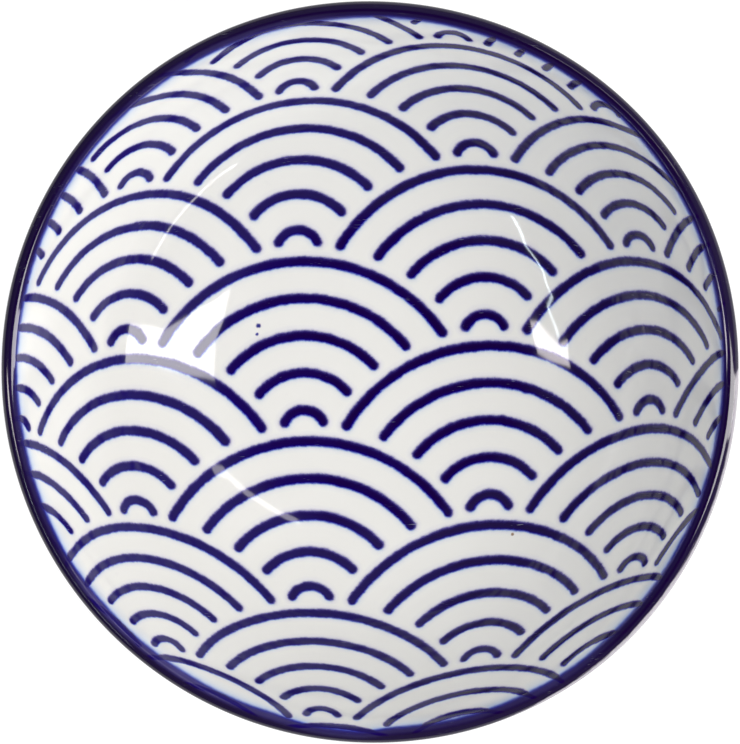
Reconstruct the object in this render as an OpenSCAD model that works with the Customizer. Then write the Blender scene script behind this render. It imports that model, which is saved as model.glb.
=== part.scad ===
// Small round porcelain sauce dish on a foot ring. A blue print of nested wave arcs lies
// under the clear glaze inside, and a painted cobalt band goes round the lip.
// Millimetres, Z up. The origin is the middle of the surface that the foot ring rests on.

/* [Dish] */
// Diameter over the lip
dish_d = 95; // [88:0.5:104]
// Radius of the curve that turns the flat floor up into the wall
turn_r = 26; // [22:0.5:30]
// Angle that this curve turns through, in degrees
turn_angle = 49; // [42:0.5:52]
// Radius of the flatter curve of the wall above it
side_r = 48.2; // [44:0.1:54]
// Slope of the wall where it meets the lip, in degrees from level
lip_angle = 70.5; // [66:0.5:76]
// Thickness of the floor and the lower wall, glaze included
floor_t = 3.2; // [3:0.1:4.5]
// Thickness of the lip, glaze included
lip_t = 2.9; // [2.2:0.1:3]

/* [Foot ring] */
// Diameter of the ring where it rests
foot_d = 48; // [42:0.5:54]
// Width of the ring where it rests
foot_w = 3.2; // [2.4:0.1:4.5]
// Depth of the hollow inside the ring
foot_h = 2.4; // [2:0.1:4]
// Lean of the ring's faces, in degrees
foot_draft = 5; // [0:0.5:10]
// Radius of the fillet between the ring and the outside of the wall
foot_fillet = 1.6; // [0.8:0.1:2]
// Radius of the fillet inside the ring
well_fillet = 1.2; // [0.6:0.1:1.5]
// Chamfer on the two edges of the resting face
foot_edge = 0.4; // [0.2:0.05:0.7]

/* [Glaze and band] */
// Thickness of the clear glaze
glaze_t = 0.25; // [0.2:0.01:0.4]
// Height of the bare clay left above the resting face
bare_h = 0.8; // [0.75:0.05:1.3]
// Thickness of the print and of the painted band, which lie under the glaze
colour_t = 0.1; // [0.08:0.01:0.15]
// Angle round the lip at which the band starts inside, counted from straight down
band_in_angle = 215; // [190:1:240]
// Angle round the lip at which the band ends outside
band_out_angle = 95; // [80:1:130]

/* [Wave print] */
// Distance from a wave to the next column of waves
wave_step = 24.1; // [20:0.1:30]
// Distance from a row of waves to the next row
row_step = 11.8; // [9:0.1:15]
// Number of arcs in a wave
arcs = 5; // [2:1:5]
// Radius of a wave's outermost arc
wave_r = 22.3; // [20.5:0.1:26]
// Distance from one arc to the next
arc_step = 4.9; // [3:0.1:4.9]
// Width of the printed line
line_w = 1.45; // [0.8:0.05:1.8]
// Clear gap between the end of an arc and the wave in front of it
front_gap = 1.2; // [0.6:0.1:1.8]
// Place of one wave's centre on the print, to the right of the dish's centre
print_x = -9.5; // [-24:0.1:24]
// Place of that centre, above the dish's centre
print_y = -8.8; // [-12:0.1:12]
// Turn of the print, in degrees
print_turn = 1.8; // [-5:0.1:5]

/* [Hidden] */
$fn = 128;

clay_colour = [0.93, 0.92, 0.88];
print_colour = [0.09, 0.08, 0.32];
band_colour = [0.06, 0.05, 0.24];
glaze_colour = [0.9, 0.93, 0.97, 0.35];

// Largest angle between two points of the wall's curves, and of the small rounds
wall_turn = 6;
small_turn = 18;
// Largest angle and length between two points of a printed line's edge
edge_turn = 20;
edge_length = 3.5;

// Angles of the cross-section count from straight down, towards the outside
function down_dir(a) = [sin(a), -cos(a)];
function down_angle(v) = atan2(v.x, -v.y);
// Points on an arc from angle a0 to a1, both ends included
function arc(c, r, a0, a1, turn) =
    let (steps = ceil(abs(a1 - a0) / turn))
    [for (n = [0:steps]) c + r * down_dir(a0 + (a1 - a0) * n / steps)];
// A path without its first point, to follow one that ends there, and a path reversed
function after(path) = [for (n = [1:len(path) - 1]) path[n]];
function backwards(path) = [for (n = [len(path) - 1:-1:0]) path[n]];

// Cross-section of the glazed dish, as distance from the axis and height
lip_r = lip_t / 2;
floor_z = foot_h + floor_t;
// Flat middle of the floor, which takes what the curves leave of the diameter
floor_r = dish_d / 2 - lip_r * (1 + sin(lip_angle))
    - side_r * (sin(lip_angle) - sin(turn_angle)) - turn_r * sin(turn_angle);
turn_c = [floor_r, floor_z + turn_r];
turn_dir = down_dir(turn_angle);
// The wall's curve goes on in line from the turn
side_c = turn_c + (turn_r - side_r) * turn_dir;
lip_c = side_c + (side_r + lip_r) * down_dir(lip_angle);
lip_top = lip_c.y + lip_r;
// The outside keeps the floor's thickness round the turn, then thins evenly to the lip
under_r = turn_r + floor_t;
under_end = turn_c + under_r * turn_dir;
outer_r = (pow(norm(under_end - lip_c), 2) - pow(lip_r, 2))
    / (2 * ((under_end - lip_c) * turn_dir - lip_r));
outer_c = under_end - outer_r * turn_dir;
outer_angle = down_angle(lip_c - outer_c);

// Foot ring, with two faces that lean apart as they rise
foot_r = foot_d / 2;
foot_rise = [sin(foot_draft), cos(foot_draft)];
foot_normal = [cos(foot_draft), -sin(foot_draft)];
// The outer fillet touches the ring's outer face and the curve of the underside
fillet_start = [foot_r, 0] + foot_fillet * foot_normal - turn_c;
fillet_rise = -fillet_start * foot_rise - sqrt(
    pow(fillet_start * foot_rise, 2) - pow(norm(fillet_start), 2)
    + pow(under_r + foot_fillet, 2));
fillet_c = turn_c + fillet_start + fillet_rise * foot_rise;
// The inner fillet touches the ring's inner face and the underside of the floor
well_c = [
    foot_r - foot_w - (foot_h - well_fillet) * tan(foot_draft) - well_fillet / cos(foot_draft),
    foot_h - well_fillet
];

// Distance of the ring's two faces from the axis at height z, moved in by inset
function foot_out_r(inset, z) = foot_r - inset / cos(foot_draft) + z * tan(foot_draft);
function foot_in_r(inset, z) = foot_r - foot_w + inset / cos(foot_draft) - z * tan(foot_draft);

// Face of the dish, moved in by inset, as paths that follow each other: from the middle of
// the floor up to the band, under the band over the lip, and down the outside to the foot
function inside_path(inset) = concat(
    [[0, floor_z - inset]],
    arc(turn_c, turn_r + inset, 0, turn_angle, wall_turn),
    after(arc(side_c, side_r + inset, turn_angle, lip_angle, wall_turn)),
    after(arc(lip_c, lip_r - inset, lip_angle + 180, band_in_angle, small_turn)));
function band_path(inset) = arc(lip_c, lip_r - inset, band_in_angle, band_out_angle, small_turn);
function outside_path(inset) = concat(
    arc(lip_c, lip_r - inset, band_out_angle, outer_angle, small_turn),
    after(arc(outer_c, outer_r - inset, outer_angle, turn_angle, wall_turn)),
    after(arc(turn_c, under_r - inset, turn_angle, down_angle(fillet_c - turn_c), wall_turn)),
    after(arc(fillet_c, foot_fillet + inset,
        down_angle(turn_c - fillet_c), down_angle(-foot_normal), small_turn)));
// Underside of the floor, from the ring's inner face to the middle
function well_path(inset) = concat(
    arc(well_c, well_fillet + inset, 90 + foot_draft, 180, small_turn),
    [[0, foot_h + inset]]);
// Bare ring, with its resting face between two chamfers
foot_path = [
    [foot_out_r(glaze_t, foot_edge), foot_edge],
    [foot_out_r(glaze_t, 0) - foot_edge, 0],
    [foot_in_r(glaze_t, 0) + foot_edge, 0],
    [foot_in_r(glaze_t, foot_edge), foot_edge]
];

// Coat between two paths that run the same way, turned about the axis
module coat(near_path, deep_path) {
    rotate_extrude() polygon(concat(near_path, backwards(deep_path)));
}

// The print is drawn flat and laid on the clay from the middle outwards, so that a point
// keeps its distance from the centre, measured along the floor, the turn, the wall and the
// start of the lip. clay_at gives the place in the cross-section at that distance.
print_turn_r = turn_r + glaze_t;
print_side_r = side_r + glaze_t;
print_lip_r = lip_r - glaze_t;
turn_end = floor_r + print_turn_r * turn_angle * PI / 180;
side_end = turn_end + print_side_r * (lip_angle - turn_angle) * PI / 180;
lip_end = side_end + print_lip_r * (lip_angle + 180 - band_in_angle) * PI / 180;
function clay_at(s) =
    s < floor_r ? [s, floor_z - glaze_t]
    : s < turn_end ? turn_c + print_turn_r * down_dir((s - floor_r) / print_turn_r * 180 / PI)
    : s < side_end ? side_c
        + print_side_r * down_dir(turn_angle + (s - turn_end) / print_side_r * 180 / PI)
    : lip_c
        + print_lip_r * down_dir(lip_angle + 180 - (s - side_end) / print_lip_r * 180 / PI);
function lay(p) = p * (norm(p) < floor_r ? 1 : clay_at(norm(p)).x / norm(p));

// The print runs a little way past the band's edge, where it is cut
print_reach = lip_end + line_w / 2;

// An arc stops where its round end is clear of the waves in front of it
arc_clear = wave_r + line_w + front_gap;
side_wave = norm([wave_step, row_step]);
below_wave = 2 * row_step;
function clamped(x) = max(-1, min(1, x));
function start_by_side(r) =
    acos(clamped((pow(r, 2) + pow(side_wave, 2) - pow(arc_clear, 2)) / (2 * r * side_wave)))
    - atan(row_step / wave_step);
function start_by_below(r) =
    asin(clamped((pow(arc_clear, 2) - pow(r, 2) - pow(below_wave, 2)) / (2 * r * below_wave)));
function arc_start(r) = max(start_by_side(r), start_by_below(r));
function arc_r(k) = wave_r - (arcs - k) * arc_step;

// Centre of a wave on the flat print
function turned(p, a) = [p.x * cos(a) - p.y * sin(a), p.x * sin(a) + p.y * cos(a)];
function wave_at(i, j) = turned([i * wave_step, j * row_step], print_turn) + [print_x, print_y];

// Stretches of an arc, as pairs of angles, that lie within the print's reach
function reach_cos(c, r) =
    clamped((pow(print_reach, 2) - pow(norm(c), 2) - pow(r, 2)) / (2 * norm(c) * r));
function stretches(c, r) =
    let (
        half = 180 - acos(reach_cos(c, r)),
        middle = atan2(-c.y, -c.x) - print_turn,
        start = arc_start(r)
    )
    [for (turn = [-360, 0, 360])
        let (
            a0 = max(start, middle + turn - half),
            a1 = min(180 - start, middle + turn + half)
        )
        if ((a1 - a0) * r * PI / 180 > line_w / 2) [a0, a1]];

columns = ceil((print_reach + wave_r + abs(print_x)) / wave_step);
rows = ceil((print_reach + wave_r + abs(print_y)) / row_step);
strokes = [
    for (i = [-columns:columns], j = [-rows:rows])
        if ((i + j) % 2 == 0)
            for (k = [1:arcs], s = stretches(wave_at(i, j), arc_r(k)))
                [wave_at(i, j), arc_r(k), s[0], s[1]]
];

// Outline of one printed line on the flat print, round at both ends
function around(c, r, a) = c + r * [cos(a + print_turn), sin(a + print_turn)];
function stroke_outline(c, r, a0, a1) =
    let (
        length = (a1 - a0) * r * PI / 180,
        steps = max(ceil(length / edge_length), ceil((a1 - a0) / edge_turn)),
        half_w = line_w / 2
    )
    concat(
        [for (n = [0:steps]) around(c, r + half_w, a0 + (a1 - a0) * n / steps)],
        [for (a = [45:45:135]) around(around(c, r, a1), half_w, a1 + a)],
        [for (n = [0:steps]) around(c, r - half_w, a1 - (a1 - a0) * n / steps)],
        [for (a = [45:45:135]) around(around(c, r, a0), half_w, a0 + 180 + a)]
    );

// One line laid on the clay, straight down through the heights that it spans there
module laid_line(outline) {
    reach = [for (p = outline) norm(p)];
    low = clay_at(min(reach)).y - line_w;
    high = clay_at(max(reach)).y + line_w;
    translate([0, 0, low]) linear_extrude(high - low) polygon([for (p = outline) lay(p)]);
}

// Printed lines, which fill the deepest part of the glaze
module printed_lines() {
    intersection() {
        for (s = strokes) {
            laid_line(stroke_outline(s[0], s[1], s[2], s[3]));
        }
        coat(inside_path(glaze_t - colour_t), inside_path(glaze_t));
    }
}

// Pressed clay: floor, wall, lip and foot ring in one
module porcelain_body() {
    color(clay_colour) rotate_extrude() polygon(concat(
        inside_path(glaze_t),
        after(band_path(glaze_t)),
        after(outside_path(glaze_t)),
        foot_path,
        well_path(glaze_t)
    ));
}

module wave_print() {
    color(print_colour) printed_lines();
}

module rim_band() {
    color(band_colour) coat(band_path(glaze_t - colour_t), band_path(glaze_t));
}

// Glaze inside, over the lip and down the outside to the foot, with room for the colours
module clear_glaze() {
    color(glaze_colour) difference() {
        coat(
            concat(
                inside_path(0),
                after(band_path(0)),
                after(outside_path(0)),
                [[foot_out_r(0, bare_h), bare_h]]
            ),
            concat(
                inside_path(glaze_t),
                band_path(glaze_t - colour_t),
                outside_path(glaze_t),
                [[foot_out_r(glaze_t, bare_h), bare_h]]
            )
        );
        printed_lines();
    }
}

// Patch of glaze on the underside, inside the ring
module foot_well_glaze() {
    color(glaze_colour) coat(
        concat([[foot_in_r(0, bare_h), bare_h]], well_path(0)),
        concat([[foot_in_r(glaze_t, bare_h), bare_h]], well_path(glaze_t))
    );
}

porcelain_body();
wave_print();
rim_band();
clear_glaze();
foot_well_glaze();
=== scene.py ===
import math

import bpy
import numpy as np
from mathutils import Matrix, Vector


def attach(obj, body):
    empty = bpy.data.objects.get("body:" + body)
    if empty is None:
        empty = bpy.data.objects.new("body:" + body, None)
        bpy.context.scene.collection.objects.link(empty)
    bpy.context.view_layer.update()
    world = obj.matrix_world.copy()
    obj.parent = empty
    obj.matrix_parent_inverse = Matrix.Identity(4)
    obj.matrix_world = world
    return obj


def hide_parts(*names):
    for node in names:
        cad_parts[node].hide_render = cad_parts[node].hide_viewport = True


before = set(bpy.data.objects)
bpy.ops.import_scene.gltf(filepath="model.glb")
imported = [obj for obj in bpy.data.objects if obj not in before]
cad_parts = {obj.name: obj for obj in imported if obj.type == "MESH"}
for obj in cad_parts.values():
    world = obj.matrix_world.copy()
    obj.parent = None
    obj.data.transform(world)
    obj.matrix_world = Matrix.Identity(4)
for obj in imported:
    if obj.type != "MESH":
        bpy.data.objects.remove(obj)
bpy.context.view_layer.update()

scene = bpy.context.scene
print("Soy sauce dish: solids loaded,", len(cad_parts), "nodes")

# Section of the dish
# The same sizes as the solids have, in metres and degrees. Only the lip is a little finer, because its
# highlights show where it turns over, and the wall's arc follows from that.
dishSizes = {
    "diameter": 0.095,
    "height": 0.03104,
    "floorRadius": 0.016,
    "turnRadius": 0.026,
    "turnAngle": 49.0,
    "lipInner": 0.00095,
    "lipOuter": 0.00115,
    "floorThickness": 0.0032,
    "footDiameter": 0.048,
    "footWidth": 0.0032,
    "footHeight": 0.0024,
    "footDraft": 5.0,
    "footFillet": 0.0016,
    "wellFillet": 0.0012,
    "footEdge": 0.0004,
    "glaze": 0.00025,
    "bareHeight": 0.0008,
    # Where the lip's piece takes over from the inside's and the outside's, in degrees before the lip
    "innerSeam": 1.3,
    "outerSeam": 0.8,
    # How the foot's resting face is eased into its chamfers: share of the chamfer and height
    "footEase": 0.35,
    "footEaseHeight": 0.00008,
    # Steps round the dish and along its section, and the angle past which an edge stays sharp
    "stepsRound": 288,
    "ringPitch": 0.0005,
    "innerLipPitch": 0.00008,
    "outerLipPitch": 0.00009,
    "sharpAngle": 32.0,
}


def outFrom(degrees):
    # Direction in the section: 0 points straight down, 90 away from the axis, 180 up.
    a = math.radians(degrees)
    return np.array((math.sin(a), -math.cos(a)))


def degreesOf(v):
    # The angle for which outFrom gives this direction.
    return math.degrees(math.atan2(v[0], -v[1]))


def bow(centre, radius, start, end, pitch):
    # Arc of the section: centre + radius * (sin a, -cos a), a running evenly from start to end.
    steps = max(3, int(math.ceil(abs(math.radians(end - start)) * radius / pitch)))
    a = np.radians(np.linspace(start, end, steps + 1))
    return np.column_stack((centre[0] + radius * np.sin(a), centre[1] - radius * np.cos(a)))


def straight(p, q, pitch):
    # Points p * (1 - t) + q * t, t running evenly from 0 to 1.
    steps = max(1, int(math.ceil(math.hypot(q[0] - p[0], q[1] - p[1]) / pitch)))
    t = np.linspace(0.0, 1.0, steps + 1)[:, None]
    return np.asarray(p) * (1 - t) + np.asarray(q) * t


def chain(*runs):
    # Runs that follow each other, without the doubled point at each joint.
    return np.vstack([runs[0]] + [run[1:] for run in runs[1:]])


def settle(d):
    # Centres and radii that follow from the sizes: points (distance from the axis, height) and lengths.
    s = dict(d)
    s["floorHeight"] = d["footHeight"] + d["floorThickness"]
    s["turnCentre"] = np.array((d["floorRadius"], s["floorHeight"] + d["turnRadius"]))
    down = outFrom(d["turnAngle"])
    # The crest of the lip is one circle inside and another outside, which meet at the top.
    crest = d["diameter"] / 2 - d["lipOuter"]
    s["innerLip"] = np.array((crest, d["height"] - d["lipInner"]))
    s["outerLip"] = np.array((crest, d["height"] - d["lipOuter"]))
    # Wall: the arc that leaves the turn smoothly and runs smoothly into the lip. Its centre is straight
    # back from its start by its radius, and as far from the lip's centre as the radius less the lip's.
    start = s["turnCentre"] + d["turnRadius"] * down
    gap = s["innerLip"] - start
    s["wallRadius"] = (gap @ gap - d["lipInner"] ** 2) / (2 * (d["lipInner"] - gap @ down))
    s["wallCentre"] = start - s["wallRadius"] * down
    s["lipAngle"] = degreesOf(s["innerLip"] - s["wallCentre"])
    # The outside of the wall: the same way, with the lip's radius on the other side.
    s["underRadius"] = d["turnRadius"] + d["floorThickness"]
    end = s["turnCentre"] + s["underRadius"] * down
    gap = end - s["outerLip"]
    s["outerRadius"] = (gap @ gap - d["lipOuter"] ** 2) / (2 * (gap @ down - d["lipOuter"]))
    s["outerCentre"] = end - s["outerRadius"] * down
    s["outerAngle"] = degreesOf(s["outerLip"] - s["outerCentre"])
    # Foot: the fillet's centre is on the ring's drafted side, moved out by the fillet's radius, where it
    # is both radii away from the turn's centre.
    draft = math.radians(d["footDraft"])
    rise = np.array((math.sin(draft), math.cos(draft)))
    side = np.array((math.cos(draft), -math.sin(draft)))
    start = np.array((d["footDiameter"] / 2, 0.0)) + d["footFillet"] * side - s["turnCentre"]
    climb = -(start @ rise) - math.sqrt((start @ rise) ** 2 - start @ start
                                        + (s["underRadius"] + d["footFillet"]) ** 2)
    s["filletCentre"] = s["turnCentre"] + start + climb * rise
    s["footSide"] = side
    s["wellCentre"] = np.array((
        d["footDiameter"] / 2 - d["footWidth"] - (d["footHeight"] - d["wellFillet"]) * math.tan(draft)
        - d["wellFillet"] / math.cos(draft), d["footHeight"] - d["wellFillet"]))
    s["draft"] = draft
    return s


dish = settle(dishSizes)


def ringOut(inset, z):
    # Radius of the foot ring's outer side at height z, moved in by inset.
    return dish["footDiameter"] / 2 - inset / math.cos(dish["draft"]) + z * math.tan(dish["draft"])


def ringIn(inset, z):
    # Radius of its inner side, likewise.
    return (dish["footDiameter"] / 2 - dish["footWidth"] + inset / math.cos(dish["draft"])
            - z * math.tan(dish["draft"]))


def facePaths(inset, pitch):
    # The dish's face moved in by inset, in runs that follow each other: inside, lip, outside, foot, well.
    d = dish
    bare = d["bareHeight"]
    innerStop = d["lipAngle"] - d["innerSeam"]
    outerStop = d["outerAngle"] - d["outerSeam"]
    inside = chain(
        straight((0.0, d["floorHeight"] - inset), (d["floorRadius"], d["floorHeight"] - inset), 2 * pitch),
        bow(d["turnCentre"], d["turnRadius"] + inset, 0.0, d["turnAngle"], pitch),
        bow(d["wallCentre"], d["wallRadius"] + inset, d["turnAngle"], innerStop, pitch))
    lip = chain(
        bow(d["wallCentre"], d["wallRadius"] + inset, innerStop, d["lipAngle"], pitch / 3),
        bow(d["innerLip"], d["lipInner"] - inset, d["lipAngle"] + 180, 180.0, d["innerLipPitch"]),
        bow(d["outerLip"], d["lipOuter"] - inset, 180.0, d["outerAngle"], d["outerLipPitch"]),
        bow(d["outerCentre"], d["outerRadius"] - inset, d["outerAngle"], outerStop, pitch / 3))
    outside = chain(
        bow(d["outerCentre"], d["outerRadius"] - inset, outerStop, d["turnAngle"], pitch),
        bow(d["turnCentre"], d["underRadius"] - inset, d["turnAngle"],
            degreesOf(d["filletCentre"] - d["turnCentre"]), pitch),
        bow(d["filletCentre"], d["footFillet"] + inset,
            degreesOf(d["turnCentre"] - d["filletCentre"]), degreesOf(-d["footSide"]), pitch / 3))
    outside = chain(outside, straight(outside[-1], (ringOut(inset, bare), bare), pitch))
    well = chain(
        bow(d["wellCentre"], d["wellFillet"] + inset, 90 + d["footDraft"], 180, pitch / 3),
        straight((d["wellCentre"][0], d["footHeight"] + inset), (0.0, d["footHeight"] + inset), 3 * pitch))
    well = chain(straight((ringIn(inset, bare), bare), well[0], pitch), well)
    return {"inside": inside, "lip": lip, "outside": outside, "well": well}


# How the rim departs from a true circle, in millimetres: mean, then cosine and sine of 1, 2, ... turns.
outOfRound = {
    "mean": -0.15,
    "waves": ((-0.166, -0.002), (-0.149, -0.062), (-0.086, 0.078), (-0.087, 0.055), (-0.037, 0.009),
              (-0.004, 0.003)),
    # Height in metres below which the dish is a true circle, and the largest share of the way up
    "fromHeight": 0.013,
    "mostShare": 1.05,
}


def rimShift(azimuth):
    # mean + the sum of a cos(k t) + b sin(k t), in metres.
    shift = outOfRound["mean"] + sum(
        a * np.cos(k * azimuth) + b * np.sin(k * azimuth)
        for k, (a, b) in enumerate(outOfRound["waves"], 1))
    return shift * 0.001


def heightShare(z):
    # 0 below the start height, then the square of the share of the way up to the middle of the lip.
    start, top = outOfRound["fromHeight"], dish["outerLip"][1]
    return np.clip((z - start) / (top - start), 0.0, outOfRound["mostShare"]) ** 2


# The brushed band's edges, in millimetres inward from the rim's outline as seen from above, and how
# thinly the colour lies, each at azimuths in degrees. On one side the brush left the outside bare.
bandEdges = {
    "inner": ((-180, 2.26), (-170, 2.32), (-160, 2.26), (-150, 2.14), (-140, 2.21), (-130, 2.29),
              (-120, 2.33), (-110, 2.22), (-106, 2.22), (-101, 1.97), (-96, 1.88), (-91.5, 1.80),
              (-87, 2.20), (-80, 2.22), (-60, 2.20), (-50, 2.33), (-40, 2.40), (0, 2.30), (20, 2.26),
              (40, 2.26), (50, 2.18), (60, 2.24), (80, 2.24), (90, 2.26), (100, 2.42), (110, 2.36),
              (120, 2.27), (140, 2.21), (150, 2.27), (160, 2.31), (180, 2.26)),
    "outer": ((-180, -1.1), (-84, -1.1), (-77, -0.2), (-68, 0.04), (-62, 0.26), (-52, 0.42), (-44, 0.50),
              (-36, 0.49), (-30, 0.32), (-24, 0.28), (-14, 0.32), (-8, 0.38), (-0.5, 0.38), (2, -0.4),
              (5, -1.1), (180, -1.1)),
    "thin": ((-180, 0.1), (-150, 0.1), (-140, 0.45), (-120, 0.5), (-105, 0.35), (-90, 0.2), (-70, 0.1),
             (-60, 0.2), (-45, 0.0), (0, 0.0), (10, 0.2), (20, 0.2), (30, 0.0), (95, 0.0), (105, 0.15),
             (120, 0.15), (140, 0.1), (160, 0.0), (180, 0.1)),
}


def bandStops(name, azimuth):
    # Straight between the stops, which are far apart beside the brush's own wander.
    degrees = (np.degrees(azimuth) + 180.0) % 360.0 - 180.0
    stops = np.array(bandEdges[name], float)
    return np.interp(degrees, stops[:, 0], stops[:, 1])


# The print's flat sheet was laid with an even stretch up the wall, as on an arc of this radius in metres
# that ends at this angle in degrees, and from there on with this many lengths of sheet to one outwards.
transfer = {
    "radius": 0.0525,
    "end": 68.0,
    "overLip": 2.05,
    # It slipped on the upper wall: how far in millimetres, towards which side in degrees, and from which
    # distance from the axis and over what length in metres.
    "slip": 0.3,
    "slipTowards": 40.0,
    "slipFrom": 0.038,
    "slipOver": 0.0045,
}


def alongSheet(radius):
    # Distance on the flat sheet for a distance from the axis: the same on the floor, then radius * angle
    # on the turn and on the wall's arc, with sin(angle) = (r - centre) / radius, then a straight stretch.
    turn, bend = math.radians(dish["turnAngle"]), dish["turnRadius"]
    centre = dish["floorRadius"] + (bend - transfer["radius"]) * math.sin(turn)
    last = centre + transfer["radius"] * math.sin(math.radians(transfer["end"]))
    onFloor = np.minimum(radius, dish["floorRadius"])
    onTurn = np.clip((radius - dish["floorRadius"]) / bend, 0.0, math.sin(turn))
    onWall = np.clip((radius - centre) / transfer["radius"], math.sin(turn),
                     (last - centre) / transfer["radius"])
    return (onFloor + bend * np.arcsin(onTurn) + transfer["radius"] * (np.arcsin(onWall) - turn)
            + np.maximum(radius - last, 0.0) * transfer["overLip"])


def patternPlaces(path, faceLength, radius, azimuth):
    # What the pattern follows, in millimetres. Sheet: (s cos t, s sin t, s) for the distance s on the flat
    # sheet and azimuth t. Band: how far inside its inner edge and inside its outer edge a place is, and how
    # thinly the band lies there.
    steep = np.clip((path[:, :1] - transfer["slipFrom"]) / transfer["slipOver"], 0.0, 1.0)
    slip = transfer["slip"] * steep * np.cos(azimuth - math.radians(transfer["slipTowards"]))
    along = alongSheet(path[:, :1]) * 1000 - slip
    sheet = np.stack((along * np.cos(azimuth), along * np.sin(azimuth), along), axis=-1)
    depth = dish["diameter"] / 2 + rimShift(azimuth) - radius
    # Past the widest point of the face, the depth is minus the length along the section from there.
    widest = int(np.argmax(path[:, 0]))
    if 0 < widest < faceLength:
        past = np.cumsum(np.hypot(*np.diff(path[widest:], axis=0).T))
        depth[widest:] = -np.concatenate(([0.0], past))[:, None]
    inner, outer, thin = (bandStops(edge, azimuth) for edge in ("inner", "outer", "thin"))
    depth = depth * 1000
    band = np.stack((inner - depth, depth - outer, np.broadcast_to(thin, depth.shape)), axis=-1)
    return {"sheet": sheet, "band": band}


def ringFaces(path, steps, closed):
    # Quads between neighbouring rings. A ring on the axis becomes one pole, and the quads there triangles.
    # Gives which points are kept, the quads and the triangles.
    rows = len(path)
    index = np.arange(rows * steps).reshape(rows, steps)
    keep = np.ones((rows, steps), bool)
    for row in (0, rows - 1):
        if path[row, 0] < 1e-9:
            index[row] = index[row, 0]
            keep[row, 1:] = False
    index = (np.cumsum(keep) - 1)[index]
    lower, upper = (index, np.roll(index, -1, axis=0)) if closed else (index[:-1], index[1:])
    quads = np.stack((lower, upper, np.roll(upper, -1, axis=1), np.roll(lower, -1, axis=1)), axis=-1)
    quads = quads.reshape(-1, 4)
    doubled = quads == np.roll(quads, -1, axis=1)
    atPole = doubled.any(axis=1)
    return keep.ravel(), quads[~atPole], quads[atPole][~doubled[atPole]].reshape(-1, 3)


def turnedPiece(name, face, deep, material, closed=False):
    # Surface of revolution: (r cos t, r sin t, z) for every point (r, z) of the section and azimuth t, with
    # the rim's shift times the height's share added to r. The section runs along the face and back along
    # the deep side.
    path = face if deep is None else np.vstack((face, deep[::-1]))
    steps = dish["stepsRound"]
    azimuth = np.arange(steps) * (2 * math.pi / steps)
    radius = path[:, :1] + rimShift(azimuth) * heightShare(path[:, 1:])
    height = np.broadcast_to(path[:, 1:], radius.shape)
    spots = np.stack((radius * np.cos(azimuth), radius * np.sin(azimuth), height), axis=-1)
    keep, quads, triangles = ringFaces(path, steps, closed)
    corners = np.concatenate((quads.ravel(), triangles.ravel()))
    starts = np.concatenate((np.arange(len(quads)) * 4, quads.size + np.arange(len(triangles)) * 3))
    mesh = bpy.data.meshes.new(name)
    mesh.vertices.add(int(keep.sum()))
    mesh.vertices.foreach_set("co", spots.reshape(-1, 3)[keep].ravel())
    mesh.loops.add(len(corners))
    mesh.loops.foreach_set("vertex_index", corners)
    mesh.polygons.add(len(starts))
    mesh.polygons.foreach_set("loop_start", starts)
    mesh.update(calc_edges=True)
    mesh.polygons.foreach_set("use_smooth", np.ones(len(starts), bool))
    mesh.set_sharp_from_angle(angle=math.radians(dish["sharpAngle"]))
    for label, values in patternPlaces(path, len(face), radius, azimuth).items():
        layer = mesh.attributes.new(label, "FLOAT_VECTOR", "POINT")
        layer.data.foreach_set("vector", values.reshape(-1, 3)[keep].ravel())
    mesh.materials.append(material)
    piece = bpy.data.objects.new(name, mesh)
    scene.collection.objects.link(piece)
    return piece


# Shader arithmetic
class Feed:
    # A socket that can be written in sums, each of which adds its Math node.
    def __init__(self, bench, socket):
        self.bench = bench
        self.socket = socket

    def maths(self, operation, *others):
        return self.bench.maths(operation, self, *others)

    def __add__(self, other):
        return self.maths("ADD", other)

    def __radd__(self, other):
        return self.bench.maths("ADD", other, self)

    def __sub__(self, other):
        return self.maths("SUBTRACT", other)

    def __rsub__(self, other):
        return self.bench.maths("SUBTRACT", other, self)

    def __mul__(self, other):
        return self.maths("MULTIPLY", other)

    def __rmul__(self, other):
        return self.bench.maths("MULTIPLY", other, self)

    def __truediv__(self, other):
        return self.maths("DIVIDE", other)

    def __rtruediv__(self, other):
        return self.bench.maths("DIVIDE", other, self)

    def __mod__(self, other):
        return self.maths("FLOORED_MODULO", other)

    def __rmod__(self, other):
        return self.bench.maths("FLOORED_MODULO", other, self)

    def __pow__(self, other):
        return self.maths("POWER", other)

    def __rpow__(self, other):
        return self.bench.maths("POWER", other, self)

    def __lt__(self, other):
        return self.maths("LESS_THAN", other)

    def __gt__(self, other):
        return self.maths("GREATER_THAN", other)

    def __abs__(self):
        return self.maths("ABSOLUTE")

    def root(self):
        return self.maths("SQRT")

    def least(self, other):
        return self.maths("MINIMUM", other)

    def most(self, other):
        return self.maths("MAXIMUM", other)

    def ease(self, start, end):
        # 0 at start, 1 at end, with soft ends
        return self.bench.add("ShaderNodeMapRange", {"interpolation_type": "SMOOTHSTEP"},
                              {"Value": self, "From Min": start, "From Max": end})


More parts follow.
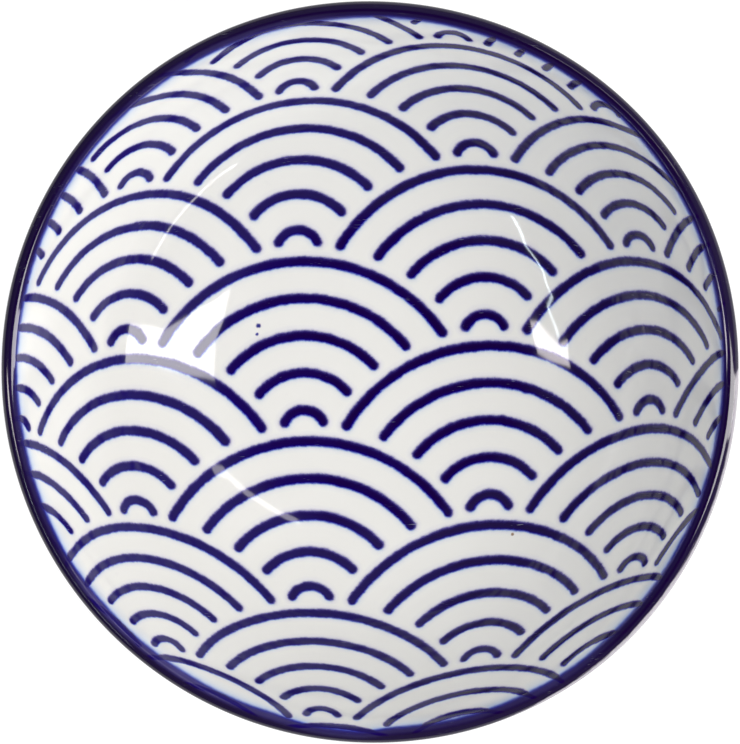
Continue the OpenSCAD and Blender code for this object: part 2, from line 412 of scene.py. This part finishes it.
class Bench:
    # A node tree to build on. Every node comes from add(): its type, its settings, among them the stops
    # and the blend of a ramp, then the values and links of its sockets.
    def __init__(self, tree):
        self.tree = tree
        tree.nodes.clear()

    def add(self, kind, settings=None, sockets=None, out=0):
        node = self.tree.nodes.new(kind)
        for key, value in (settings or {}).items():
            if key == "stops":
                elements = node.color_ramp.elements
                while len(elements) < len(value):
                    elements.new(0.5)
                for element, (place, colour) in zip(elements, value):
                    element.position = place
                    element.color = (*colour, 1.0)
            elif key == "blend":
                node.color_ramp.interpolation = value
            else:
                setattr(node, key, value)
        for key, value in (sockets or {}).items():
            if isinstance(value, Feed):
                self.tree.links.new(value.socket, node.inputs[key])
            else:
                node.inputs[key].default_value = value
        return Feed(self, node.outputs[out]) if node.outputs else node

    def maths(self, operation, *values):
        return self.add("ShaderNodeMath", {"operation": operation}, dict(enumerate(values)))

    def vector(self, operation, *values, out="Vector"):
        return self.add("ShaderNodeVectorMath", {"operation": operation}, dict(enumerate(values)), out)

    def several(self, kind, sockets, *names):
        # One node, of which more than one output is used
        node = self.add(kind, None, sockets).socket.node
        return [Feed(self, node.outputs[name]) for name in names]

    def parts(self, value, *names):
        return self.several("ShaderNodeSeparateXYZ", {0: value}, *names)

    def attribute(self, name):
        return self.add("ShaderNodeAttribute", {"attribute_name": name}, None, "Vector")

    def tint(self, share, plain, other, way="MIX"):
        # Mix keeps its colours in sockets 6 and 7 and in output 2.
        return self.add("ShaderNodeMix", {"data_type": "RGBA", "blend_type": way},
                        {0: share, 6: plain, 7: other}, 2)

    def ramp(self, value, stops, blend="LINEAR"):
        return self.add("ShaderNodeValToRGB", {"stops": stops, "blend": blend}, {0: value})

    def speckle(self, place, scale, detail=2.0, roughness=0.5, out=0):
        return self.add("ShaderNodeTexNoise", {"noise_dimensions": "3D"},
                        {"Vector": place, "Scale": scale, "Detail": detail, "Roughness": roughness}, out)

    def wander(self, place, scale, detail, amount, roughness=0.5):
        # Noise about 0, from minus half the amount to half of it
        return (self.speckle(place, scale, detail, roughness) - 0.5) * amount

    def finish(self, shader):
        self.add("ShaderNodeOutputMaterial", None, {"Surface": shader})


def newMaterial(name):
    material = bpy.data.materials.new(name)
    material.use_nodes = True
    return material, Bench(material.node_tree)


def opaque(colour, share=1.0):
    # A colour, or a share of it, with full alpha
    return (*(v * share for v in colour), 1.0)


def linear(r, g, b):
    # A colour written as 0 to 255, as light: ((c + 0.055) / 1.055) to the power 2.4, or c / 12.92 if dark.
    c = np.array((r, g, b)) / 255
    return np.where(c <= 0.04045, c / 12.92, ((c + 0.055) / 1.055) ** 2.4)


# Glaze
glazeLook = {
    "white": (0.770, 0.768, 0.732),
    "roughness": 0.045,
    "roughnessSpread": 0.02,
    "ior": 1.44,
    # Faint clouds: noise per metre, between which noise values, and the darkest and lightest share of white
    "cloudScale": 40.0,
    "cloudEase": (0.3, 0.7),
    "cloudShares": (0.985, 1.012),
    # Fine grains: noise per metre, from where to where it shows, how strongly, and their grey
    "grainScale": 900.0,
    "grainEase": (0.66, 0.78),
    "grainShare": 0.05,
    "grainColour": (0.55, 0.56, 0.6),
    # Ripple of the gloss: depth in metres, noise per metre, and a slower swell that goes this much deeper
    "ripple": 0.00005,
    "rippleScale": 70.0,
    "swellScale": 18.0,
    "swellShare": 3.0,
    # Beside which white the inks' colours are written, the gloss on both, and the least that ink gives back
    "whiteBeside": (227, 226, 221),
    "veil": 0.002,
    "least": 0.0004,
}


def underGlaze(colour):
    # Share of the white ground's light that an ink leaves: (ink - veil) / (white - veil), both as light.
    ink = np.maximum(linear(*colour) - glazeLook["veil"], glazeLook["least"])
    share = np.minimum(ink / (linear(*glazeLook["whiteBeside"]) - glazeLook["veil"]), 1.0)
    return tuple(float(v) for v in share)


def inkStops(look, name):
    # Ramp stops of inks by distance in millimetres: (distance + before) / reach
    return [((s + look["before"]) / look["reach"], underGlaze(colour)) for s, colour in look[name]]


# Wave print
printLook = {
    # The flat sheet in millimetres: a nest's middle, the turn in degrees, and the steps from nest to nest
    "origin": (-9.49, -8.74),
    "turn": 1.77,
    "columnStep": 24.1,
    "rowStep": 11.83,
    # Nested arcs: smallest radius, step, and the angle in degrees at which each one ends
    "smallest": 2.78,
    "step": 4.88,
    "endAngles": (25.7, 41.4, 41.7, 38.4, 33.8),
    # How far the lines wander, how rough they are and how unevenly wide: noise per millimetre, amount
    "pushScale": 0.45,
    "push": 0.35,
    "edgeScale": 1.3,
    "edge": 0.22,
    "slowScale": 0.12,
    "slow": 0.14,
    # Ink by distance from a line's middle in millimetres, on the arc's inner and outer side
    "before": 0.0,
    "reach": 1.7,
    "insideStops": ((0.0, (24, 2, 60)), (0.25, (24, 3, 66)), (0.42, (23, 4, 90)), (0.52, (34, 24, 132)),
                    (0.62, (83, 89, 180)), (0.71, (149, 164, 208)), (0.80, (196, 208, 214)),
                    (0.92, (214, 217, 219)), (1.12, (222, 223, 221)), (1.5, (227, 226, 221))),
    "outsideStops": ((0.0, (24, 2, 60)), (0.25, (28, 12, 66)), (0.47, (38, 29, 92)), (0.58, (70, 60, 128)),
                     (0.67, (112, 105, 164)), (0.77, (182, 180, 196)), (0.88, (208, 207, 212)),
                     (1.02, (220, 219, 219)), (1.5, (227, 226, 221))),
    # From where to where the inner side's ink gives way to the outer side's, in millimetres outside the
    # radius, of which a place beside the arc counts this share
    "sideEase": (-0.25, 0.25),
    "sideShare": 0.5,
    # Share of light that the thinner ink leaves, over how many millimetres it sets in, how much it follows
    # the sheet's other direction, and its unevenness
    "thinInk": (0.012, 0.004, 0.145),
    "thinOver": 45.0,
    "thinAside": 0.5,
    "thinWander": 1.2,
    # Stray specks: place on the flat sheet and radius in millimetres, and colour. The core is full colour.
    "specks": ((-15.5, 5.1, 0.42, (0.03, 0.03, 0.22)), (-15.7, 4.0, 0.30, (0.06, 0.06, 0.3)),
               (18.2, -22.5, 0.30, (0.30, 0.20, 0.14))),
    "speckCore": 0.4,
    # Hairline scratches in the glaze, which show on the dark lines: direction in degrees, from which noise
    # value on a patch has them, and strength. Then noise per millimetre along and across a scratch, between
    # which noise values a hair shows, and the patches' noise per millimetre and soft edge.
    "scratches": ((63.0, 0.655, 0.20), (-48.0, 0.665, 0.16)),
    "hairScale": (0.35, 9.0, 1.0),
    "hairEase": (0.70, 0.78),
    "patchScale": 0.16,
    "patchSoft": 0.08,
    "scratchColour": (0.75, 0.78, 0.8),
}


def nearestArc(bench, x, y):
    # Distance to the nearest of the nested arcs about (0, 0), and how far outside that arc's radius. Arc k
    # has the radius k * step + smallest. Past its end angle the distance is that to its end point. The ramp
    # holds the end angle of arc k as a share of a quarter turn.
    ends = printLook["endAngles"]
    rho = (x * x + y * y).root()
    k = ((rho - printLook["smallest"]) / printLook["step"]).maths("ROUND").most(0.0).least(len(ends) - 1.0)
    radius = k * printLook["step"] + printLook["smallest"]
    stops = [(max(n - 0.5, 0.0) / len(ends), (end / 90.0,) * 3) for n, end in enumerate(ends)]
    end = bench.ramp(k / len(ends), stops, "CONSTANT") * (math.pi / 2)
    beside = y.maths("ARCTAN2", x) < end
    off = rho - radius
    aside = abs(off)
    dx, dy = x - radius * end.maths("COSINE"), y - radius * end.maths("SINE")
    past = (dx * dx + dy * dy).root()
    return aside + (past - aside) * beside, off * (1.0 - beside * (1.0 - printLook["sideShare"]))


def waveLines(bench, sheet):
    # Distance to the nearest printed line, and how far outside that line's radius. Nests of arcs stand two
    # row steps apart in their column, and the odd columns are one row step higher. Each place is measured
    # from the nest below it on its left and from the one on its right, and the nearer line counts.
    columnStep, rowStep = printLook["columnStep"], printLook["rowStep"]
    push = bench.speckle(sheet, printLook["pushScale"], detail=3.0, roughness=0.65, out="Color")
    push = bench.vector("SUBTRACT", push, (0.5, 0.5, 0.5))
    place = bench.vector("MULTIPLY_ADD", push, (printLook["push"], printLook["push"], 0.0), sheet)
    cells = bench.add("ShaderNodeMapping", {"vector_type": "TEXTURE"}, {
        "Vector": place, "Location": (*printLook["origin"], 0.0),
        "Rotation": (0.0, 0.0, math.radians(printLook["turn"])), "Scale": (columnStep, rowStep, 1.0)})
    across, up = bench.parts(cells, "X", "Y")
    column = across.maths("FLOOR")
    leftX = (across - column) * columnStep
    leftY = ((up - column % 2.0) / 2.0).maths("FRACT") * (2.0 * rowStep)
    rightX = columnStep - leftX
    rightY = (leftY + rowStep) % (2.0 * rowStep)
    leftAway, leftOff = nearestArc(bench, leftX, leftY)
    rightAway, rightOff = nearestArc(bench, rightX, rightY)
    return leftAway.least(rightAway), rightOff + (leftOff - rightOff) * (leftAway < rightAway)


def printInk(bench, sheet):
    # The print's share of the ground's light: a ramp over the distance from the line, rough at its edge,
    # which bleeds more softly on the outer side, and thinner, so bluer, towards one side of the sheet.
    away, off = waveLines(bench, sheet)
    edge = bench.wander(sheet, printLook["edgeScale"], 3.0, printLook["edge"], roughness=0.6)
    slow = bench.speckle(sheet, printLook["slowScale"]) - 0.5
    away = (away + edge + slow * printLook["slow"]).most(0.0) / printLook["reach"]
    inner = bench.ramp(away, inkStops(printLook, "insideStops"))
    outer = bench.ramp(away, inkStops(printLook, "outsideStops"))
    ink = bench.tint(off.ease(*printLook["sideEase"]), inner, outer)
    x, y = bench.parts(sheet, "X", "Y")
    thin = (abs(y) * printLook["thinAside"] - x) / printLook["thinOver"] + slow * printLook["thinWander"]
    return bench.tint(thin.most(0.0).least(1.0), ink, opaque(printLook["thinInk"]), "LIGHTEN")


def flaws(bench, sheet, colour):
    # Round specks with ragged edges, then scratches: noise stretched along their direction, in patches.
    x, y = bench.parts(sheet, "X", "Y")
    ragged = bench.speckle(sheet, printLook["edgeScale"], detail=3.0, roughness=0.6) - 0.5
    for speckX, speckY, radius, speck in printLook["specks"]:
        away = ((x - speckX) ** 2.0 + (y - speckY) ** 2.0).root() + ragged * radius
        core = away.ease(radius * printLook["speckCore"], radius)
        colour = bench.tint(1.0 - core, colour, opaque(speck), "DARKEN")
    pale = opaque(printLook["scratchColour"])
    for direction, often, strength in printLook["scratches"]:
        strokes = bench.add("ShaderNodeMapping", {"vector_type": "POINT"}, {
            "Vector": sheet, "Rotation": (0.0, 0.0, math.radians(-direction)),
            "Scale": printLook["hairScale"]})
        hairs = bench.speckle(strokes, 1.0, detail=1.0, roughness=0.4).ease(*printLook["hairEase"])
        patches = bench.speckle(sheet, printLook["patchScale"]).ease(often - printLook["patchSoft"], often)
        colour = bench.tint(hairs * patches * strength, colour, pale, "LIGHTEN")
    return colour


# Brushed band
bandLook = {
    # Colour by distance inside the band's inner edge in millimetres. Short of the edge the stops pale into
    # the band's blue bleed, and their grey there is also painted shade on the lip's shoulder.
    "before": 0.9,
    "reach": 3.2,
    "innerStops": ((-0.9, (227, 226, 221)), (-0.45, (219, 221, 221)), (-0.2, (210, 215, 222)),
                   (-0.01, (190, 202, 222)), (0.09, (155, 168, 212)), (0.165, (110, 124, 193)),
                   (0.24, (60, 72, 158)), (0.33, (29, 30, 124)), (0.43, (23, 15, 98)),
                   (0.54, (24, 10, 76)), (0.68, (25, 10, 62)), (1.0, (24, 11, 50)), (2.3, (24, 13, 46))),
    # Wander of the inner edge, slow and fine, and of the outer edge: noise per metre, detail, millimetres
    "slowWander": (110.0, 3.0, 0.22),
    "fineWander": (900.0, 2.0, 0.1),
    "outerWander": (300.0, 2.0, 0.3),
    # Colour where the brush left little of it, and between which distances that sets in and ends
    "thinColour": (70, 64, 118),
    "thinStart": (0.2, 0.5),
    "thinEnd": (0.8, 1.4),
    "thinShare": 1.4,
    # Streaks of the brush where it is thin: noise per metre, between which noise values, and least and more
    "brushScale": 60.0,
    "brushEase": (0.3, 0.7),
    "brushLeast": 0.7,
    "brushMore": 0.6,
    # Half width of the outer edge, what the painted shade past it leaves of the light, a lavender grey on
    # the bare outer lip, and how far it reaches
    "outerSoft": 0.12,
    "outerShade": (0.52, 0.49, 0.57),
    "outerShadeEase": (-1.6, -0.1),
}


def bandInk(bench, place, ink):
    # The print's ink with the band laid over it, whichever is darker, and painted shade on the bare glaze
    # past the outer edge.
    inside, fromOuter, thinness = bench.parts(bench.attribute("band"), "X", "Y", "Z")
    inside = inside + (bench.wander(place, *bandLook["slowWander"])
                       + bench.wander(place, *bandLook["fineWander"]))
    paint = bench.ramp((inside + bandLook["before"]) / bandLook["reach"], inkStops(bandLook, "innerStops"))
    streaks = bench.speckle(place, bandLook["brushScale"], detail=3.0, roughness=0.6)
    brushed = streaks.ease(*bandLook["brushEase"]) * bandLook["brushMore"] + bandLook["brushLeast"]
    thin = (inside.ease(*bandLook["thinStart"]) * (1.0 - inside.ease(*bandLook["thinEnd"]))
            * thinness * brushed * bandLook["thinShare"])
    paint = bench.tint(thin.least(1.0), paint, opaque(underGlaze(bandLook["thinColour"])), "LIGHTEN")
    laid = bench.tint(1.0, ink, paint, "DARKEN")
    fromOuter = fromOuter + bench.wander(place, *bandLook["outerWander"])
    # Painted shade: the bare glaze past the band's outer edge is darkened to a lavender grey, most near the
    # edge
    paintedShade = opaque(bandLook["outerShade"])
    past = bench.tint(fromOuter.ease(*bandLook["outerShadeEase"]), (1.0, 1.0, 1.0, 1.0), paintedShade)
    return bench.tint(fromOuter.ease(-bandLook["outerSoft"], bandLook["outerSoft"]), past, laid)


def glazeMaterial(name, printed):
    material, bench = newMaterial(name)
    place = bench.add("ShaderNodeTexCoord", None, None, "Object")
    cloud = bench.speckle(place, glazeLook["cloudScale"], detail=3.0).ease(*glazeLook["cloudEase"])
    grain = bench.speckle(place, glazeLook["grainScale"])
    darkest, lightest = (opaque(glazeLook["white"], share) for share in glazeLook["cloudShares"])
    colour = bench.tint(cloud, darkest, lightest)
    colour = bench.tint(grain.ease(*glazeLook["grainEase"]) * glazeLook["grainShare"], colour,
                        opaque(glazeLook["grainColour"]))
    if printed:
        sheet = bench.attribute("sheet")
        laid = bandInk(bench, place, printInk(bench, sheet))
        colour = flaws(bench, sheet, bench.tint(1.0, colour, laid, "MULTIPLY"))
    swell = bench.speckle(place, glazeLook["swellScale"], detail=1.0) * glazeLook["swellShare"]
    bump = bench.add("ShaderNodeBump", None, {
        "Strength": 1.0, "Distance": glazeLook["ripple"],
        "Height": swell + bench.speckle(place, glazeLook["rippleScale"])})
    bench.finish(bench.add("ShaderNodeBsdfPrincipled", None, {
        "Base Color": colour, "Roughness": glazeLook["roughness"] + grain * glazeLook["roughnessSpread"],
        "IOR": glazeLook["ior"], "Normal": bump}))
    return material


# Bare clay of the foot ring
clayLook = {
    "colour": (0.74, 0.70, 0.62),
    # Mottling: noise per metre, between which noise values, and the darkest share of the colour
    "mottleScale": 260.0,
    "mottleEase": (0.3, 0.7),
    "mottleShare": 0.9,
    # Dark specks in the sandy grain, likewise, and the grain's height in metres
    "speck": (0.45, 0.38, 0.30),
    "speckEase": (0.62, 0.75),
    "speckShare": 0.6,
    "grainScale": 2600.0,
    "grainHeight": 0.00004,
    "roughness": 0.7,
    "roughnessSpread": 0.15,
}


def clayMaterial(name):
    material, bench = newMaterial(name)
    place = bench.add("ShaderNodeTexCoord", None, None, "Object")
    mottle = bench.speckle(place, clayLook["mottleScale"], detail=4.0, roughness=0.6)
    grain = bench.speckle(place, clayLook["grainScale"], detail=3.0, roughness=0.6)
    colour = bench.tint(mottle.ease(*clayLook["mottleEase"]), opaque(clayLook["colour"]),
                        opaque(clayLook["colour"], clayLook["mottleShare"]))
    specks = grain.ease(*clayLook["speckEase"]) * clayLook["speckShare"]
    colour = bench.tint(specks, colour, opaque(clayLook["speck"]))
    bump = bench.add("ShaderNodeBump", None, {
        "Strength": 1.0, "Distance": clayLook["grainHeight"], "Height": grain})
    bench.finish(bench.add("ShaderNodeBsdfPrincipled", None, {
        "Base Color": colour, "Roughness": clayLook["roughness"] + mottle * clayLook["roughnessSpread"],
        "Normal": bump}))
    return material


printedGlaze = glazeMaterial("printed_glaze", True)
plainGlaze = glazeMaterial("plain_glaze", False)
bareClay = clayMaterial("bare_clay")
print("Materials made: printed glaze, plain glaze, bare clay")

# Pieces
surface = facePaths(0.0, dish["ringPitch"])
clay = facePaths(dish["glaze"], dish["ringPitch"])


def footPath(inset):
    # The bare ring's section in eight points: down its outer side, across its resting face and up inside.
    bare, edge, ease = dish["bareHeight"], dish["footEdge"], dish["footEase"] * dish["footEdge"]
    outer, inner = ringOut(inset, 0.0), ringIn(inset, 0.0)
    return np.array((
        (ringOut(inset, bare), bare), (ringOut(inset, edge), edge),
        (outer - ease, dish["footEaseHeight"]), (outer - edge, 0.0),
        (inner + edge, 0.0), (inner + ease, dish["footEaseHeight"]),
        (ringIn(inset, edge), edge), (ringIn(inset, bare), bare)))


bodyPath = chain(clay["inside"], clay["lip"], clay["outside"], footPath(dish["glaze"]), clay["well"])
# Each piece, the solid that it stands for and its slot
pieces = (
    (turnedPiece("bowl_inside_glaze", surface["inside"], clay["inside"], printedGlaze),
     "wave_print", "print_blue"),
    (turnedPiece("lip_band", surface["lip"], clay["lip"], printedGlaze, closed=True),
     "rim_band", "rim_blue"),
    (turnedPiece("outside_glaze", surface["outside"], clay["outside"], plainGlaze, closed=True),
     "clear_glaze", "clear_glaze"),
    (turnedPiece("foot_well_glaze_skin", surface["well"], clay["well"], plainGlaze),
     "foot_well_glaze", "clear_glaze"),
    (turnedPiece("clay_body", bodyPath, None, bareClay),
     "porcelain_body", "biscuit"),
)
for piece, node, slot in pieces:
    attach(piece, "root")
    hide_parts(node)
print("Pieces made:", ", ".join(piece.name for piece, node, slot in pieces))

# Floor and light
studio = {
    # Floor: size and drop in metres, its matt colour and clouds, and what the camera and mirrors see of it
    "floorSize": 6.0,
    "floorDrop": 0.00002,
    "floorColour": (0.20, 0.20, 0.20),
    "floorRoughness": 0.9,
    "floorCloudScale": 3.0,
    "floorCloud": 0.985,
    "floorGlow": (0.87, 0.87, 0.87),
    # What matt surfaces get from the floor, so that the outside of the dish looks as white as it is
    "floorBounce": (0.45, 0.45, 0.45),
    # Sky by its height, 0 at the horizon and 1 at the zenith
    "sky": ((0.0, (1.0, 1.0, 1.0)), (0.05, (1.0, 1.0, 1.0)), (0.12, (0.235, 0.24, 0.255)),
            (0.90, (0.235, 0.24, 0.255)), (0.975, (0.01, 0.01, 0.01)), (1.0, (0.01, 0.01, 0.01))),
    # Sides of the room, how much each adds to the sky, and between which heights
    "sides": (((0.0, 1.0, 0.0), 0.06), ((1.0, 0.0, 0.0), 0.07), ((-1.0, 0.0, 0.0), -0.15)),
    "sidesStart": (-0.02, 0.05),
    "sidesEnd": (0.90, 0.975),
    "cardDistance": 2.5,
}
# Large soft fills that leave no highlight: azimuth, elevation, width in metres, radiance and tint
softFills = {
    "fill_front": (-90, 22, 1.3, 3.2, (0.97, 1.0, 1.03)),
    "fill_back": (90, 38, 1.3, 4.0, (1.0, 1.0, 0.97)),
    "fill_left": (180, 48, 1.3, 2.15, (1.0, 1.0, 1.0)),
}
# Bright cards round the dish, as a window and its neighbours: corners as azimuth and elevation in degrees,
# then brightness and tint. They give the glaze its highlights and the bowl its light side.
lightCards = {
    "window": (
        [(-3, 2), (-12, 2), (-12.5, 12.7), (-13, 39), (-18.7, 49.7), (-22.2, 54), (-33.9, 66.7),
         (-24.7, 70.8), (-14.7, 69), (-0.8, 69.9), (-0.6, 61), (-1, 52), (-2, 42), (-3, 31.6)],
        12.6, (1.0, 0.975, 0.96)),
    "far_window": (
        [(-159.8, 67.7), (-161.6, 63.6), (-165.7, 60.2), (-169.8, 54.4), (-169.5, 48.6), (-174.8, 49.2),
         (-177.3, 48), (-174.8, 58.7), (-171.2, 66.8), (-164.2, 68)],
        16.5, (1.0, 0.93, 0.94)),
}
# Narrow bright lines: points along the middle, then one width in degrees or one for each point, brightness
# and tint
lightLines = {
    "sill": (
        [(-58, 14.6), (-51, 13.4), (-46.8, 14.5), (-40, 14.1), (-32.3, 14.7), (-28.5, 14.4)],
        (3.6, 3.3, 3.0, 2.6, 2.3, 2.2), 12.0, (1.0, 0.97, 0.97)),
    "lamp_edge": (
        [(31.2, 51.7), (33.8, 56.9), (38.4, 58), (43.7, 59.3), (50.9, 61.6), (56.8, 62.1), (64.5, 63.8)],
        2.8, 7.8, (1.0, 0.95, 0.95)),
    "thread": (
        [(-131.2, 42.4), (-135.2, 45.2), (-139.8, 49), (-144.6, 48.5), (-148.5, 48.5), (-152.2, 50.5),
         (-156.4, 50.6), (-158.9, 55.4), (-164.3, 54.3), (-168.4, 53.4)],
        0.9, 22.0, (0.86, 1.0, 1.06)),
}


def stageMesh(name, corners, material):
    # One flat face through the given corners
    mesh = bpy.data.meshes.new(name)
    mesh.from_pydata(corners, [], [tuple(range(len(corners)))])
    mesh.materials.append(material)
    card = bpy.data.objects.new(name, mesh)
    scene.collection.objects.link(card)
    return card


def whiteFloor(name):
    # A matt floor that glows evenly towards the camera and in mirrors, so that only the dish's shadow shows
    # on it.
    material, bench = newMaterial(name + "_white")
    camera, glossy, through = bench.several("ShaderNodeLightPath", None, "Is Camera Ray", "Is Glossy Ray",
                                            "Is Transmission Ray")
    glow = bench.tint((camera + glossy + through).least(1.0), opaque(studio["floorBounce"]),
                      opaque(studio["floorGlow"]))
    place = bench.add("ShaderNodeTexCoord", None, None, "Object")
    cloud = bench.speckle(place, studio["floorCloudScale"])
    colour = bench.tint(cloud, opaque(studio["floorColour"]),
                        opaque(studio["floorColour"], studio["floorCloud"]))
    bench.finish(bench.add("ShaderNodeBsdfPrincipled", None, {
        "Base Color": colour, "Roughness": studio["floorRoughness"], "Specular IOR Level": 0.0,
        "Emission Color": glow, "Emission Strength": 1.0}))
    half, z = studio["floorSize"] / 2, -studio["floorDrop"]
    stageMesh(name, [(-half, -half, z), (half, -half, z), (half, half, z), (-half, half, z)], material)


def skyLight(name):
    # The sky's colour by height, plus strength * the positive part of direction . side for each side,
    # eased in and out between its heights.
    world = bpy.data.worlds.new(name)
    world.use_nodes = True
    bench = Bench(world.node_tree)
    direction = bench.add("ShaderNodeTexCoord", None, None, "Generated")
    up, = bench.parts(direction, "Z")
    sides = sum(bench.vector("DOT_PRODUCT", direction, side, out="Value").most(0.0) * strength
                for side, strength in studio["sides"])
    reach = up.ease(*studio["sidesStart"]) * (1.0 - up.ease(*studio["sidesEnd"]))
    colour = bench.tint(1.0, bench.ramp(up, studio["sky"]), sides * reach, "ADD")
    light = bench.add("ShaderNodeBackground", None, {"Color": colour, "Strength": 1.0})
    bench.add("ShaderNodeOutputWorld", None, {"Surface": light})
    return world


def towards(azimuth, elevation):
    # Direction (cos e cos a, cos e sin a, sin e) for azimuth a and elevation e.
    a, e = np.radians(azimuth), np.radians(elevation)
    return np.stack((np.cos(e) * np.cos(a), np.cos(e) * np.sin(a), np.sin(e)), axis=-1)


def lightCard(name, corners, brightness, tint):
    # Outline of directions, set at the card distance, that glows evenly and that the camera doesn't see.
    material, bench = newMaterial(name)
    bench.finish(bench.add("ShaderNodeEmission", None, {"Color": opaque(tint), "Strength": brightness}))
    spots = towards(*np.array(corners, float).T) * studio["cardDistance"]
    card = stageMesh(name, spots.tolist(), material)
    card.visible_camera = False
    card.visible_shadow = False


def lineCorners(points, width):
    # Both sides of a line of directions: each point moved half the width to its left, then those to its
    # right in the other order.
    p = np.array(points, float)
    shrink = np.cos(np.radians(p[:, 1]))
    along = np.gradient(p, axis=0)
    along[:, 0] *= shrink
    along /= np.linalg.norm(along, axis=1)[:, None]
    across = np.column_stack((-along[:, 1] / shrink, along[:, 0]))
    across *= np.broadcast_to(width, len(p))[:, None] / 2
    return np.vstack((p + across, (p - across)[::-1]))


def softFill(name, azimuth, elevation, width, radiance, tint):
    # A disc that faces the dish. Its power is radiance * pi * area, and mirrors don't show it.
    data = bpy.data.lights.new(name, "AREA")
    data.shape = "DISK"
    data.size = width
    data.energy = radiance * math.pi * math.pi * width ** 2 / 4
    data.color = tint
    lamp = bpy.data.objects.new(name, data)
    scene.collection.objects.link(lamp)
    away = Vector(towards(azimuth, elevation))
    lamp.location = away * studio["cardDistance"]
    lamp.rotation_euler = away.to_track_quat("Z", "Y").to_euler()
    lamp.visible_glossy = False


whiteFloor("floor")
scene.world = skyLight("studio")
for name, (corners, brightness, tint) in lightCards.items():
    lightCard(name, corners, brightness, tint)
for name, (points, width, brightness, tint) in lightLines.items():
    lightCard(name, lineCorners(points, width), brightness, tint)
for name, (azimuth, elevation, width, radiance, tint) in softFills.items():
    softFill(name, azimuth, elevation, width, radiance, tint)
print("Floor and lights placed")

# The camera stands nearly overhead: distance in metres, and how far it leans for each metre of height. The
# focal length, and where the middle of the bowl's floor falls, are in pixels of the picture.
view = {
    "distance": 0.9,
    "lean": (0.0249, 0.0395),
    "focalPixels": 6856.2,
    "middle": (376.48, 364.68),
    "picture": (740, 744),
    "sensor": 36.0,
}


def overheadCamera(name):
    # Lens = focal length in pixels * sensor width / longer side, and the shift is in longer sides.
    longSide = max(view["picture"])
    data = bpy.data.cameras.new(name)
    data.sensor_width = view["sensor"]
    data.lens = view["focalPixels"] * data.sensor_width / longSide
    data.shift_x = (view["picture"][0] / 2 - view["middle"][0]) / longSide
    data.shift_y = (view["middle"][1] - view["picture"][1] / 2) / longSide
    camera = bpy.data.objects.new(name, data)
    scene.collection.objects.link(camera)
    away = Vector((*view["lean"], 1.0)).normalized()
    right = (Vector((1.0, 0.0, 0.0)) - away.x * away).normalized()
    turn = Matrix((right, away.cross(right), away)).transposed().to_4x4()
    spot = Vector((0.0, 0.0, dish["floorHeight"])) + away * view["distance"]
    camera.matrix_world = Matrix.Translation(spot) @ turn
    return camera


scene.camera = overheadCamera("camera")
scene.view_settings.view_transform = "Standard"
print("Camera placed")
